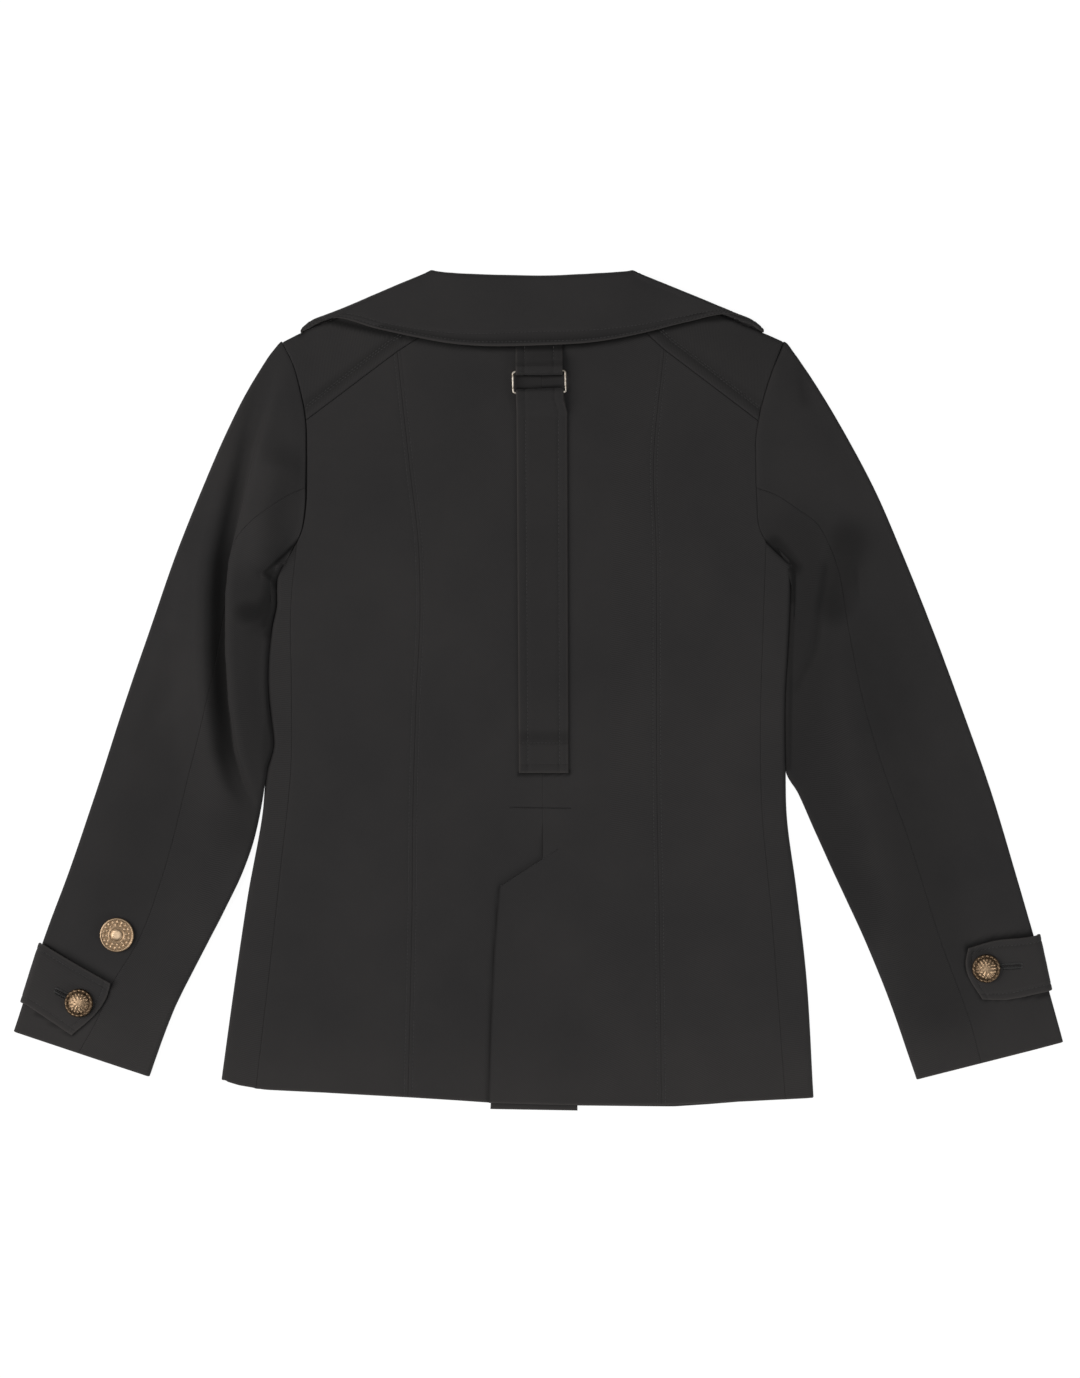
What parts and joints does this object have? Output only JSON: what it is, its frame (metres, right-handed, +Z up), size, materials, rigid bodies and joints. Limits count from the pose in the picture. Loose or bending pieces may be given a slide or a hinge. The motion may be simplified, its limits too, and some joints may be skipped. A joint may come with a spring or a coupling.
{
  "type": "blazer",
  "caption": "Short tailored jacket laid flat on its front: wide storm collar, panelled back with a buckled centre strap and a vent, two-piece sleeves with buttoned cuff tabs.",
  "frame": {"origin": "middle of the bounding box, on the surface that the jacket lies on", "axes": "+Z up off the surface, +Y towards the collar, +X towards the wearer's right"},
  "size_m": [0.8348, 0.6702, 0.0162],
  "materials": {
    "suiting": "matt charcoal twill suiting",
    "button_brass": "antique brass, worn bright on the high spots",
    "buckle_metal": "polished pale gold"
  },
  "bodies": {
    "root": {"back_centre_left": "suiting", "back_centre_right": "suiting", "back_side_left": "suiting", "back_side_right": "suiting", "front_left": "suiting", "front_right": "suiting", "vent_underlap": "suiting", "side_panel_left": "suiting", "side_panel_right": "suiting", "lapel_left": "suiting", "lapel_right": "suiting", "yoke_left": "suiting", "yoke_right": "suiting", "topsleeve_left": "suiting", "topsleeve_right": "suiting", "undersleeve_left": "suiting", "undersleeve_right": "suiting", "cuff_tab_left": "suiting", "cuff_tab_right": "suiting", "collar": "suiting", "strap_upper": "suiting", "strap_lower": "suiting", "cuff_button_left": "button_brass", "cuff_button_right": "button_brass", "sleeve_button_left": "button_brass", "front_button_1": "button_brass", "front_button_2": "button_brass", "front_button_3": "button_brass", "buckle": "buckle_metal"}
  },
  "joints": []
}
